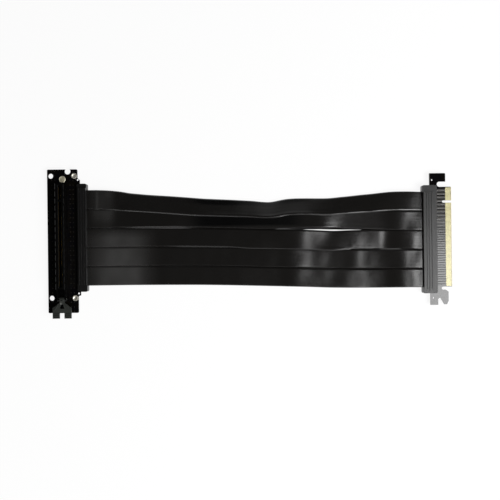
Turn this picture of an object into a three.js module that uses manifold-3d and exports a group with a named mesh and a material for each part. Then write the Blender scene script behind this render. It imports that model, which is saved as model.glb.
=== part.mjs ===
// A flat riser cable for a sixteen lane expansion card, lying level on a table.
// On the left a small board carries the card slot with its latch, on the right a second board
// ends in the card edge that plugs into the computer, and five sleeved ribbons join the two.
// Millimetres, +Z up. While the pieces are laid out, x = 0 is the outer edge of the slot's board,
// y = 0 the middle of the band of ribbons and z = 0 the underside of the covers.
import * as THREE from 'three';
import { mergeVertices } from 'three/addons/utils/BufferGeometryUtils.js';
import Module from 'manifold-3d';

const wasm = await Module();
wasm.setup();

// Sizes shared by both ends. A piece that is joined on is sunk into what carries it, and a
// cutter stands over the face that it cuts
const boardThick = 1.6;
const clearance = 0.3;
const boardCorner = 1;
const sink = 0.5;
const over = 1;

// The ribbons
const ribbonCount = 5;
const ribbonWidth = 16;
const ribbonThick = 1.8;
const ribbonEase = 0.54;
const ribbonGap = 0.3;
const ribbonFree = 285.4;
const ribbonHeld = 2.4;
const ribbonSteps = 20;
const ribbonStraight = 3;
const plugOffset = -4.6;

// The wire pairs that come out of each ribbon inside a cover
const pairCount = 8;
const pairWidth = 0.9;
const pairPitch = 1.9;
const pairThick = 0.35;
const padLength = 2.4;
const groundBarWidth = 0.9;
const groundBarThick = 0.4;

// The two shells over each row of solder joints
const coverLength = 92;
const raisedLength = 82.3;
const raisedShift = 1.1;
const upperHeight = 4.6;
const earHeight = 2.4;
const stepHeight = 2.6;
const uprightHeight = 1.2;
const coverSlant = 0.5;
const lowerHeight = 3.4;
const lowerChamfer = 0.6;
const coverWall = 1.4;
const coverCorner = 1.5;
const jointRoom = 1.6;
const grooveCount = 3;
const groovePitch = 2.1;
const grooveWidth = 0.7;
const grooveDepth = 0.5;
const postRadius = 0.9;
const postLength = 2.6;
const tongueInset = 4.6;
const socketCoverDepth = 8.4;
const socketStepWidth = 1.3;
const plugCoverDepth = 12.4;
const plugStepWidth = 3.2;

// The slot's board
const socketWidth = 25.7;
const coverLap = 0.1;
const boardPastTop = 13;
const boardPastBottom = 20.5;
const shoulderReach = 2;
const shoulderPast = 5.7;
const screwHoleRadius = 2.2;
const screwPitchX = 20;
const screwPastTop = 7.4;
const screwPastBottom = 7.8;
const edgeNotchRadius = 2.6;
const edgeNotchX = 17.4;
const edgeNotchInset = 1.7;
const toolingHoleRadius = 0.85;
const toolingHoleInset = 1.7;

// The rivet above the slot
const rivetPast = 4.5;
const rivetHeadRadius = 2.8;
const rivetHeadThick = 0.5;
const rivetDish = 0.25;
const rivetShankRadius = 1.7;

// The card edge, the same on every such card: eleven contacts, a key, seventy-one contacts
const contactPitch = 1;
const contactsShort = 11;
const contactsLong = 71;
const keyMargin = 0.55;
const endMargin = 1.1;
const keyWidth = 1.9;

// The slot
const slotMiddleY = 1;
const slotShiftX = 0.15;
const slotWidth = 7.5;
const slotEndWall = 1.9;
const slotHeight = 11.25;
const channelWidth = 1.9;
const channelDepth = 8.6;
const channelEndRoom = 0.3;
const leadIn = 0.65;
const keyWebWidth = 1.5;
const pocketWidth = 0.62;
const pocketReach = 1.35;
const pocketFloor = 3.4;
const contactBack = 0.3;
const contactPeak = 7.8;
const contactTip = 9.4;
const sideGroovePitch = 5.96;
const sideGrooveWidth = 1.7;
const sideGrooveDepth = 0.45;
const sideGrooveCount = 14;
const sideGrooveFloor = 3;
const pegRadius = 1.15;
const pegInset = 3.4;
const pegLength = 2;

// The latch and the lugs that carry it
const lugReach = 8.5;
const lugRadius = 2.4;
const lugThick = 1.15;
const lugRise = 1.6;
const pivotHeight = 4.5;
const trunnionRadius = 1.1;
const trunnionPlay = 0.25;
const hubRadius = 1.95;
const openAngle = THREE.MathUtils.degToRad(38);
const latchWidth = 15.8;
const latchReach = 16.2;
const latchNeck = 3;
const latchFlare = 7.4;
const fingerGap = 4.1;
const fingerLength = 4.6;
const armBelow = 0.2;
const armAbove = 1.6;
const windowHalf = 1;
const windowLead = 1.2;
const windowTail = 0.6;
const ridgeHeight = 0.7;
const ridgeWidth = 0.9;
const ridgeEndWidth = 1.5;
const ridgeEdge = 1;
const ridgeLead = 0.6;
const ridgeTail = 1.6;
const gripRibs = 3;
const gripRibPitch = 1.5;
const gripRibWidth = 0.7;
const gripRibInset = 0.3;
const hookHalf = 0.75;
const hookHeight = 6.1;
const hookLip = 1.4;
const hookReach = 2.2;
const hookStem = 0.6;
const hookBack = 1.3;
const hookDraft = 0.4;

// The plug's board, measured from its gold edge towards the cable
const plugWidth = 18.6;
const notchToCover = 0.6;
const edgeMiddleY = 2;
const keyDepth = 7.9;
const bevelLength = 0.5;
const bevelDepth = 0.42;
const padWidth = 0.7;
const goldLength = 4.5;
const goldInset = 0.7;
const goldThick = 0.04;
const tabHeight = 7.3;
const tabGap = 4.4;
const tabInset = 5;
const tabNotchInset = 12.3;
const hookGapHeight = 2.6;
const hookGapInset = 9;
const hookInset = 3.2;
const hookDrop = 15.1;
const hookNose = 3;
const hookShoulder = 1.6;
const hookShoulderWidth = 2.2;
const footDrop = 15.5;
const footWidth = 6.5;
const footSlotRadius = 1.4;
const footSlotDrop = 9.6;
const footSlotLip = 0.4;
const footSlotHeel = 2;
const smallHoleRadius = 0.7;
const tabHoleInset = 2.1;
const tabHoleRise = 1.5;
const footHoleInset = 2.6;
const footHoleRise = 6;

// Heights and places that follow from the sizes
const boardBottomZ = lowerHeight;
const boardTopZ = boardBottomZ + boardThick;
const boardMidZ = (boardBottomZ + boardTopZ) / 2;
const ribbonZ = boardTopZ + pairThick / 2;
const ribbonPitch = ribbonWidth + ribbonGap;
const bandHalf = (ribbonCount * ribbonPitch) / 2;
const shoulderX = socketWidth + shoulderReach;
const socketFaceX = socketWidth - coverLap + socketCoverDepth;
const plugFaceX = socketFaceX + ribbonFree;
const plugTipX = plugFaceX + plugCoverDepth + notchToCover + tabNotchInset;
const slotX = socketWidth / 2 + slotShiftX;
const keyToContact = keyWidth / 2 + keyMargin;
const keyToTop = keyToContact + (contactsShort - 1) * contactPitch + endMargin;
const keyToBottom = keyToContact + (contactsLong - 1) * contactPitch + endMargin;
const slotLength = keyToTop + keyToBottom + 2 * slotEndWall;
const slotTopY = slotMiddleY + slotLength / 2;
const slotBottomY = slotMiddleY - slotLength / 2;
const socketTop = slotTopY + boardPastTop;
const socketBottom = slotBottomY - boardPastBottom;
const rivetY = slotTopY + rivetPast;
const slotKeyY = slotTopY - slotEndWall - keyToTop;
const plugKeyY = edgeMiddleY + (keyToBottom - keyToTop) / 2;
const plugEdgeTop = plugKeyY + keyToTop;
const plugEdgeBottom = plugKeyY - keyToBottom;
const pivotY = slotBottomY - lugReach;
const pivotZ = boardTopZ + pivotHeight;
const lugInner = slotWidth / 2 - lugThick;
const latchNeckHalf = lugInner - clearance;

// Joining and cutting

function toSolid(geometry) {
  const bare = geometry.clone();
  bare.deleteAttribute('normal');
  bare.deleteAttribute('uv');
  const merged = mergeVertices(bare, 1e-4);
  const vertProperties = Float32Array.from(merged.attributes.position.array);
  const triVerts = Uint32Array.from(merged.index.array);
  return new wasm.Manifold(new wasm.Mesh({ numProp: 3, vertProperties, triVerts }));
}

function toGeometry(body) {
  const { vertProperties, triVerts } = body.getMesh();
  const geometry = new THREE.BufferGeometry();
  geometry.setAttribute('position', new THREE.BufferAttribute(vertProperties, 3));
  geometry.setIndex(new THREE.BufferAttribute(triVerts, 1));
  geometry.computeVertexNormals();
  return geometry;
}

function joined(geometries) {
  return geometries.map(toSolid).reduce((whole, next) => whole.add(next));
}

// Shapes and what is extruded from them

function outline(points) {
  return new THREE.Shape(points.map(([x, y]) => new THREE.Vector2(x, y)));
}

function circlePath(x, y, radius) {
  return new THREE.Path().absarc(x, y, radius, 0, 2 * Math.PI);
}

function plate(shape, z0, z1) {
  const geometry = new THREE.ExtrudeGeometry(shape, {
    depth: z1 - z0,
    bevelEnabled: false,
    curveSegments: 7,
  });
  return geometry.translate(0, 0, z0);
}

// A profile in (x, z), drawn out along Y
function alongY(shape, y0, y1) {
  const geometry = new THREE.ExtrudeGeometry(shape, { depth: y1 - y0, bevelEnabled: false });
  return geometry.rotateX(Math.PI / 2).translate(0, y1, 0);
}

// A profile in (y, z), drawn out along X
function alongX(shape, x0, x1) {
  const geometry = new THREE.ExtrudeGeometry(shape, {
    depth: x1 - x0,
    bevelEnabled: false,
    curveSegments: 10,
  });
  const turn = new THREE.Matrix4().makeBasis(
    new THREE.Vector3(0, 1, 0),
    new THREE.Vector3(0, 0, 1),
    new THREE.Vector3(1, 0, 0),
  );
  return geometry.applyMatrix4(turn).translate(x0, 0, 0);
}

function block(xa, xb, y0, y1, z0, z1) {
  const x0 = Math.min(xa, xb);
  const x1 = Math.max(xa, xb);
  const geometry = new THREE.BoxGeometry(x1 - x0, y1 - y0, z1 - z0);
  return geometry.translate((x0 + x1) / 2, (y0 + y1) / 2, (z0 + z1) / 2);
}

function upright(x, y, radius, z0, z1, sides = 16) {
  const geometry = new THREE.CylinderGeometry(radius, radius, z1 - z0, sides);
  return geometry.rotateX(Math.PI / 2).translate(x, y, (z0 + z1) / 2);
}

function crossPin(y, z, radius, x0, x1, sides = 20) {
  const geometry = new THREE.CylinderGeometry(radius, radius, x1 - x0, sides);
  return geometry.rotateZ(Math.PI / 2).translate((x0 + x1) / 2, y, z);
}

function roundedRectangle(xa, xb, y0, y1, radius) {
  const x0 = Math.min(xa, xb);
  const x1 = Math.max(xa, xb);
  const shape = new THREE.Shape();
  shape.absarc(x1 - radius, y0 + radius, radius, -Math.PI / 2, 0);
  shape.absarc(x1 - radius, y1 - radius, radius, 0, Math.PI / 2);
  shape.absarc(x0 + radius, y1 - radius, radius, Math.PI / 2, Math.PI);
  shape.absarc(x0 + radius, y0 + radius, radius, Math.PI, 1.5 * Math.PI);
  return shape;
}

// Every contact's distance from the middle of the key, upwards positive
function contactOffsets() {
  const short = Array.from({ length: contactsShort }, (_, i) => keyToContact + i * contactPitch);
  const long = Array.from({ length: contactsLong }, (_, i) => -keyToContact - i * contactPitch);
  return [...short, ...long];
}

// The slot's board: a strip with a shoulder on the cable side and a tongue under the cover,
// four screw holes, a notch broken out of its top edge and the holes for the slot's pegs
function socketBoard() {
  const tongueX = socketFaceX - tongueInset;
  const tongueHalf = bandHalf + clearance;
  const shoulderTop = slotTopY + shoulderPast;
  const shoulderBottom = slotBottomY - shoulderPast;
  const shape = new THREE.Shape();
  shape.absarc(boardCorner, socketBottom + boardCorner, boardCorner, Math.PI, 1.5 * Math.PI);
  shape.absarc(socketWidth - boardCorner, socketBottom + boardCorner, boardCorner, -Math.PI / 2, 0);
  shape.lineTo(socketWidth, shoulderBottom - shoulderReach / 4);
  shape.lineTo(shoulderX, shoulderBottom);
  shape.lineTo(shoulderX, -tongueHalf);
  shape.lineTo(tongueX, -tongueHalf);
  shape.lineTo(tongueX, tongueHalf);
  shape.lineTo(shoulderX, tongueHalf);
  shape.lineTo(shoulderX, shoulderTop - shoulderReach);
  shape.lineTo(socketWidth, shoulderTop);
  shape.absarc(socketWidth - boardCorner, socketTop - boardCorner, boardCorner, 0, Math.PI / 2);
  const mouth = Math.asin(edgeNotchInset / edgeNotchRadius);
  const notchY = socketTop - edgeNotchInset;
  shape.absarc(edgeNotchX, notchY, edgeNotchRadius, mouth, Math.PI - mouth, true);
  shape.absarc(boardCorner, socketTop - boardCorner, boardCorner, Math.PI / 2, Math.PI);

  for (const sideX of [-1, 1]) {
    const x = slotX + (sideX * screwPitchX) / 2;
    shape.holes.push(circlePath(x, slotTopY + screwPastTop, screwHoleRadius));
    shape.holes.push(circlePath(x, slotBottomY - screwPastBottom, screwHoleRadius));
  }
  const toolingX = shoulderX - toolingHoleInset;
  shape.holes.push(circlePath(toolingX, shoulderTop - toolingHoleInset, toolingHoleRadius));
  shape.holes.push(circlePath(toolingX, shoulderBottom + toolingHoleInset, toolingHoleRadius));
  for (const y of pegPlaces()) {
    shape.holes.push(circlePath(slotX, y, pegRadius + clearance));
  }
  shape.holes.push(circlePath(slotX, rivetY, rivetShankRadius + clearance));
  return plate(shape, boardBottomZ, boardTopZ);
}

function pegPlaces() {
  return [slotBottomY + pegInset, slotTopY - pegInset];
}

// The rivet: a turned piece with a dished head on the board and an upset foot below it
function boardRivet() {
  const head = boardTopZ + rivetHeadThick;
  const foot = boardBottomZ - rivetHeadThick;
  const rim = rivetHeadRadius - rivetDish;
  const points = [
    [0, foot],
    [rivetShankRadius + clearance, foot],
    [rivetShankRadius + 2 * clearance, boardBottomZ],
    [rivetShankRadius, boardBottomZ],
    [rivetShankRadius, boardTopZ],
    [rivetHeadRadius, boardTopZ],
    [rivetHeadRadius, head - rivetDish / 2],
    [rim, head],
    [rim - rivetDish, head],
    [rim - 2 * rivetDish, head - rivetDish],
    [0, head - rivetDish],
  ];
  const profile = points.map(([r, z]) => new THREE.Vector2(r, z));
  return new THREE.LatheGeometry(profile, 16).rotateX(Math.PI / 2).translate(slotX, rivetY, 0);
}

// What is open in one contact's pocket: its floor is the spring contact's back, which leans
// from the pocket's outer wall towards the channel, peaks there and falls to the contact's tip
function pocketProfile(side) {
  const wall = channelWidth / 2;
  const above = boardTopZ + slotHeight + over;
  const points = [
    [wall - contactBack, above],
    [wall - contactBack, boardTopZ + contactTip],
    [wall + contactBack, boardTopZ + contactPeak],
    [wall + pocketReach, boardTopZ + pocketFloor],
    [wall + pocketReach, above],
  ];
  return outline(points.map(([x, z]) => [slotX + side * x, z]));
}

// The card channel in section, flared where the card's edge is led in
function channelProfile() {
  const half = channelWidth / 2;
  const top = boardTopZ + slotHeight;
  const floor = top - channelDepth;
  const points = [
    [-half, floor],
    [half, floor],
    [half, top - leadIn],
    [half + leadIn + over, top + over],
    [-half - leadIn - over, top + over],
    [-half, top - leadIn],
  ];
  return outline(points.map(([x, z]) => [slotX + x, z]));
}

// A lug beside the latch, tapering from the slot's end to a round eye on the pivot
function lug(side) {
  const root = slotBottomY + sink;
  const shape = new THREE.Shape();
  shape.moveTo(root, boardTopZ + clearance);
  shape.lineTo(root, pivotZ + lugRadius + lugRise);
  shape.absarc(pivotY, pivotZ, lugRadius, Math.PI / 2, 1.5 * Math.PI);
  shape.holes.push(circlePath(pivotY, pivotZ, trunnionRadius + trunnionPlay));
  const inner = slotX + side * lugInner;
  const outer = slotX + (side * slotWidth) / 2;
  return alongX(shape, Math.min(inner, outer), Math.max(inner, outer));
}

// The slot housing with its contacts: one moulding with the card channel, its key web, a pocket
// for each of the card's pads, pegs that pass through the board and the latch's lugs
function slotHousing() {
  const half = slotWidth / 2;
  const top = boardTopZ + slotHeight;
  const bodyProfile = outline([
    [slotX - half, boardTopZ],
    [slotX + half, boardTopZ],
    [slotX + half, top - clearance],
    [slotX + half - clearance, top],
    [slotX - half + clearance, top],
    [slotX - half, top - clearance],
  ]);
  const channelTop = slotKeyY + keyToTop + channelEndRoom;
  const channelBottom = slotKeyY - keyToBottom - channelEndRoom;
  const cuts = [
    alongY(channelProfile(), slotKeyY + keyWebWidth / 2, channelTop),
    alongY(channelProfile(), channelBottom, slotKeyY - keyWebWidth / 2),
  ];
  for (const side of [-1, 1]) {
    for (const offset of contactOffsets()) {
      const y = slotKeyY + offset;
      cuts.push(alongY(pocketProfile(side), y - pocketWidth / 2, y + pocketWidth / 2));
    }
    for (let i = 0; i < sideGrooveCount; i += 1) {
      const y = slotMiddleY + (i - (sideGrooveCount - 1) / 2) * sideGroovePitch;
      const inner = slotX + side * (half - sideGrooveDepth);
      const outer = slotX + side * (half + over);
      const z0 = boardTopZ + sideGrooveFloor;
      const y0 = y - sideGrooveWidth / 2;
      cuts.push(block(inner, outer, y0, y0 + sideGrooveWidth, z0, top + over));
    }
  }
  const pegs = pegPlaces().map((y) =>
    upright(slotX, y, pegRadius, boardTopZ - pegLength, boardTopZ + sink));
  const body = alongY(bodyProfile, slotBottomY, slotTopY);
  return joined([body, lug(-1), lug(1), ...pegs]).subtract(joined(cuts));
}

// The latch's hook, drawn as it stands over a card and then turned back to lie open
function hookProfile() {
  const closed = [
    [-hookBack, 0],
    [hookStem + hookDraft, 0],
    [hookStem, hookHeight - hookLip - sink],
    [hookReach, hookHeight - hookLip],
    [hookReach - hookLip / 2, hookHeight],
    [-hookBack + hookDraft, hookHeight],
  ];
  const cos = Math.cos(openAngle);
  const sin = Math.sin(openAngle);
  return outline(closed.map(([y, z]) => [pivotY + y * cos - z * sin, pivotZ + y * sin + z * cos]));
}

// The latch's arms from above: a neck, two legs that spread past the lugs, and two finger tabs
function armShape() {
  const wide = latchWidth / 2;
  const y = (reach) => pivotY - reach;
  const half = [
    [latchNeckHalf, 0],
    [latchNeckHalf, latchNeck],
    [wide, latchFlare],
    [wide, latchReach],
    [fingerGap / 2, latchReach],
    [fingerGap / 2, latchReach - fingerLength],
  ];
  const right = half.map(([x, reach]) => [slotX + x, y(reach)]);
  const left = half.toReversed().map(([x, reach]) => [slotX - x, y(reach)]);
  const shape = outline([...right, ...left]);
  const window = [
    [windowHalf, latchNeck + windowLead],
    [-windowHalf, latchNeck + windowLead],
    [-fingerGap / 2, latchFlare + windowTail],
    [fingerGap / 2, latchFlare + windowTail],
  ];
  const corners = window.map(([x, reach]) => new THREE.Vector2(slotX + x, y(reach)));
  shape.holes.push(new THREE.Path(corners));
  return shape;
}

// The latch: one moulding that turns on two trunnions in the lugs' eyes
function slotLatch() {
  const armTop = pivotZ + armAbove;
  const ridgeRoot = latchNeckHalf + ridgeWidth;
  const ridgeEnd = latchWidth / 2 - ridgeEdge;
  const pieces = [
    crossPin(pivotY, pivotZ, hubRadius, slotX - latchNeckHalf, slotX + latchNeckHalf),
    crossPin(pivotY, pivotZ, trunnionRadius, slotX - slotWidth / 2, slotX + slotWidth / 2),
    plate(armShape(), pivotZ - armBelow, armTop),
    alongX(hookProfile(), slotX - hookHalf, slotX + hookHalf),
  ];
  for (const side of [-1, 1]) {
    const ridge = outline([
      [slotX + side * (ridgeRoot - ridgeWidth), pivotY - latchNeck - ridgeLead],
      [slotX + side * ridgeRoot, pivotY - latchNeck - ridgeLead],
      [slotX + side * ridgeEnd, pivotY - latchFlare - ridgeTail],
      [slotX + side * (ridgeEnd - ridgeEndWidth), pivotY - latchFlare - ridgeTail],
    ]);
    pieces.push(plate(ridge, armTop - sink, armTop + ridgeHeight));
    for (let i = 0; i < gripRibs; i += 1) {
      const y0 = pivotY - latchReach + gripRibInset + i * gripRibPitch;
      const inner = slotX + side * (fingerGap / 2 + gripRibInset);
      const outer = slotX + side * (latchWidth / 2 - gripRibInset);
      const top = armTop + ridgeHeight;
      pieces.push(block(inner, outer, y0, y0 + gripRibWidth, armTop - sink, top));
    }
  }
  return joined(pieces);
}

// The places of one end's cover: its face towards the cable, the way to the board, its depth,
// the width of its low step, the board's shoulder and its middle
const socketEnd = {
  face: socketFaceX,
  inward: -1,
  depth: socketCoverDepth,
  step: socketStepWidth,
  shoulder: socketFaceX - shoulderX,
  middle: 0,
};
const plugEnd = {
  face: plugFaceX,
  inward: 1,
  depth: plugCoverDepth,
  step: plugStepWidth,
  shoulder: plugTipX - plugWidth - plugFaceX,
  middle: plugOffset,
};

// Posts inside both ears of the upper shell, clear of the boards
function postPlaces(end) {
  const x = end.face + end.inward * (coverWall + postRadius);
  const y = (coverLength + 2 * bandHalf) / 4 + clearance;
  return [[x, end.middle - y], [x, end.middle + y]];
}

function coverPlan(end, z0, z1) {
  const half = coverLength / 2;
  const back = end.face + end.inward * end.depth;
  const y0 = end.middle - half;
  return plate(roundedRectangle(end.face, back, y0, y0 + coverLength, coverCorner), z0, z1);
}

// The upper shell: low ears, a raised part with a slanted front, a low step at the back and
// grooves along its top, hollow over the joints and open at the front for the ribbons. Both ends
// have the same moulding, turned round, so the raised part lies off the middle to either side
function upperCover(end) {
  const at = (u) => end.face + end.inward * u;
  const slantAt = (z) => (coverSlant * (z - uprightHeight)) / (upperHeight - uprightHeight);
  const seat = boardTopZ;
  const earProfile = outline([
    [at(0), seat],
    [at(0), seat + uprightHeight],
    [at(slantAt(earHeight)), seat + earHeight],
    [at(end.depth), seat + earHeight],
    [at(end.depth), seat],
  ]);
  const raisedProfile = outline([
    [at(0), seat],
    [at(0), seat + uprightHeight],
    [at(coverSlant), seat + upperHeight],
    [at(end.depth - end.step), seat + upperHeight],
    [at(end.depth - end.step), seat + stepHeight],
    [at(end.depth), seat + stepHeight],
    [at(end.depth), seat],
  ]);
  const half = (length) => [end.middle - length / 2, end.middle + length / 2];
  const raisedMiddle = end.middle - end.inward * raisedShift;
  const raised = (length) => [raisedMiddle - length / 2, raisedMiddle + length / 2];
  const outer = joined([
    alongY(earProfile, ...half(coverLength)),
    alongY(raisedProfile, ...raised(raisedLength)),
  ]).intersect(toSolid(coverPlan(end, seat - over, seat + upperHeight + over)));

  const front = at(coverWall);
  const back = at(end.depth - coverWall);
  const roomLength = 2 * (bandHalf + clearance);
  const mouthTop = ribbonZ + ribbonThick / 2 + clearance;
  const raisedBack = at(end.depth - end.step - coverWall);
  const raisedFront = at(coverWall + coverSlant);
  const raisedRoof = seat + upperHeight - coverWall;
  const cuts = [
    block(front, back, ...half(roomLength), seat - over, seat + jointRoom),
    block(at(-over), at(coverWall + over), ...half(roomLength), seat - over, mouthTop),
    block(raisedFront, raisedBack, ...raised(raisedLength - 2 * coverWall), seat - over, raisedRoof),
  ];
  const ridgeMiddle = (coverSlant + end.depth - end.step) / 2;
  for (let i = 0; i < grooveCount; i += 1) {
    const u = ridgeMiddle + (i - (grooveCount - 1) / 2) * groovePitch;
    const z0 = seat + upperHeight - grooveDepth;
    const ends = raised(raisedLength + over);
    const wide = grooveWidth / 2;
    cuts.push(block(at(u - wide), at(u + wide), ...ends, z0, z0 + grooveDepth + over));
  }
  const posts = postPlaces(end).map(([x, y]) =>
    upright(x, y, postRadius, seat - postLength, seat + sink));
  return outer.subtract(joined(cuts)).add(joined(posts));
}

// The lower shell: a flat tray whose end cheeks fill the board's thickness and meet the upper
// shell, with a socket in each cheek for a post and a sill under the ribbons
function lowerCover(end) {
  const at = (u) => end.face + end.inward * u;
  const half = (length) => [end.middle - length / 2, end.middle + length / 2];
  const trayProfile = outline([
    [at(lowerChamfer), 0],
    [at(0), lowerChamfer],
    [at(0), boardBottomZ],
    [at(end.depth), boardBottomZ],
    [at(end.depth), lowerChamfer],
    [at(end.depth - lowerChamfer), 0],
  ]);
  const cheekInner = bandHalf + 2 * clearance;
  const cheekBack = end.shoulder - clearance;
  const cheeks = [-1, 1].map((side) => {
    const ya = end.middle + side * cheekInner;
    const yb = end.middle + (side * coverLength) / 2;
    const y0 = Math.min(ya, yb);
    return block(at(0), at(cheekBack), y0, Math.max(ya, yb), boardBottomZ - sink, boardTopZ);
  });
  const sill = block(at(0), at(coverWall), ...half(2 * cheekInner), boardBottomZ - sink, boardTopZ);
  const outer = joined([alongY(trayProfile, ...half(coverLength)), ...cheeks, sill])
    .intersect(toSolid(coverPlan(end, -over, boardTopZ + over)));
  const roomLength = 2 * (bandHalf + clearance);
  const mouthFloor = ribbonZ - ribbonThick / 2 - clearance;
  const roomEnd = at(end.depth - coverWall);
  const above = boardTopZ + over;
  const room = block(at(coverWall), roomEnd, ...half(roomLength), coverWall, above);
  const mouth = block(at(-over), at(coverWall + over), ...half(roomLength), mouthFloor, above);
  const socketDepth = postLength + clearance;
  const sockets = postPlaces(end).map(([x, y]) =>
    upright(x, y, postRadius + clearance, boardTopZ - socketDepth, above));
  return outer.subtract(joined([room, mouth, ...sockets]));
}

// The end of one ribbon's flat core: its foil strip lies on the board under a ground bar and
// splits into bare wire pairs on the pads
function wireEnds(end, lane) {
  const at = (u) => end.face + end.inward * u;
  const tips = at(tongueInset + padLength);
  const root = at(ribbonHeld + clearance);
  const front = at(tongueInset);
  const back = at(tongueInset + groundBarWidth);
  const y = end.middle + lane;
  const half = ((pairCount - 1) * pairPitch + pairWidth) / 2;
  const teeth = Array.from({ length: pairCount }, (_, i) => {
    const y0 = y - half + i * pairPitch;
    return [[back, y0], [tips, y0], [tips, y0 + pairWidth], [back, y0 + pairWidth]];
  });
  const comb = outline([[root, y - half], ...teeth.flat(), [root, y + half]]);
  const barTop = boardTopZ + pairThick + groundBarThick;
  return joined([
    plate(comb, boardTopZ, boardTopZ + pairThick),
    block(front, back, y - half, y + half, boardTopZ, barTop),
  ]);
}

// The plug's board from above: a tab, the card edge with its key, and a hook beside a foot
function plugShape() {
  const x = (inset) => plugTipX - inset;
  const y = (local) => plugOffset + local;
  const notchRadius = tabGap / 2;
  const gapRadius = hookGapHeight / 2;
  const keyRadius = keyWidth / 2;
  const tongueHalf = bandHalf + clearance;
  const tongueX = plugFaceX + tongueInset;
  const footX = x(plugWidth - footWidth);
  const footY = y(plugEdgeBottom - footDrop);
  const footSlotX = footX + footSlotRadius;
  const footSlotY = y(plugEdgeBottom - footSlotDrop - footSlotRadius);
  const heelX = footSlotX + footSlotRadius + footSlotLip;
  const hookY = y(plugEdgeBottom - hookDrop);
  const hookTop = y(plugEdgeBottom - hookGapHeight);
  const tabBottom = plugEdgeTop + tabGap;
  const tabTop = tabBottom + tabHeight;
  const shape = new THREE.Shape();
  shape.moveTo(x(plugWidth), footY);
  shape.lineTo(footX, footY);
  shape.absarc(footSlotX, footSlotY, footSlotRadius, Math.PI, 0, true);
  shape.lineTo(heelX, footSlotY - footSlotLip);
  shape.lineTo(heelX + footSlotHeel, hookY);
  shape.lineTo(x(hookInset + hookNose / 2), hookY);
  shape.lineTo(x(hookInset), hookY + hookNose);
  shape.lineTo(x(hookInset), hookTop - hookShoulder);
  shape.lineTo(x(hookInset + hookShoulderWidth), hookTop);
  shape.absarc(x(hookGapInset - gapRadius), hookTop + gapRadius, gapRadius,
    -Math.PI / 2, -1.5 * Math.PI, true);
  shape.lineTo(plugTipX, y(plugEdgeBottom));
  shape.lineTo(plugTipX, y(plugKeyY - keyRadius));
  shape.absarc(x(keyDepth - keyRadius), y(plugKeyY), keyRadius, -Math.PI / 2, -1.5 * Math.PI, true);
  shape.lineTo(plugTipX, y(plugKeyY + keyRadius));
  shape.lineTo(plugTipX, y(plugEdgeTop));
  shape.absarc(x(tabNotchInset - notchRadius), y(plugEdgeTop + notchRadius), notchRadius,
    -Math.PI / 2, -1.5 * Math.PI, true);
  shape.lineTo(x(tabInset), y(tabBottom));
  shape.absarc(x(tabInset + boardCorner), y(tabTop - boardCorner), boardCorner, 0, Math.PI / 2);
  shape.lineTo(x(plugWidth), y(tabTop));
  shape.lineTo(x(plugWidth), y(tongueHalf));
  shape.lineTo(tongueX, y(tongueHalf));
  shape.lineTo(tongueX, y(-tongueHalf));
  shape.lineTo(x(plugWidth), y(-tongueHalf));
  const tabHoleY = y(tabBottom + tabHoleRise);
  shape.holes.push(circlePath(x(plugWidth - tabHoleInset), tabHoleY, smallHoleRadius));
  const footHoleX = x(plugWidth - footHoleInset);
  shape.holes.push(circlePath(footHoleX, footY + footHoleRise, smallHoleRadius));
  return shape;
}

// The plug's board with its gold pads on both faces and the bevel along the card edge
function plugBoard() {
  const edgeTop = plugOffset + plugEdgeTop;
  const edgeBottom = plugOffset + plugEdgeBottom;
  const wedges = [-1, 1].map((side) => {
    const face = boardMidZ + (side * boardThick) / 2;
    const profile = outline([
      [plugTipX - bevelLength, face + side * over],
      [plugTipX - bevelLength, face],
      [plugTipX, face - side * bevelDepth],
      [plugTipX + over, face - side * bevelDepth],
      [plugTipX + over, face + side * over],
    ]);
    return alongY(profile, edgeBottom - over, edgeTop + over);
  });
  const pads = [];
  const near = plugTipX - goldInset;
  const low = boardBottomZ - goldThick;
  const high = boardTopZ + goldThick;
  for (const offset of contactOffsets()) {
    const y0 = plugOffset + plugKeyY + offset - padWidth / 2;
    const y1 = y0 + padWidth;
    pads.push(block(near - goldLength, near, y0, y1, low, boardBottomZ + sink));
    pads.push(block(near - goldLength, near, y0, y1, boardTopZ - sink, high));
  }
  return toSolid(plate(plugShape(), boardBottomZ, boardTopZ))
    .subtract(joined(wedges))
    .add(joined(pads));
}

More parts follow.
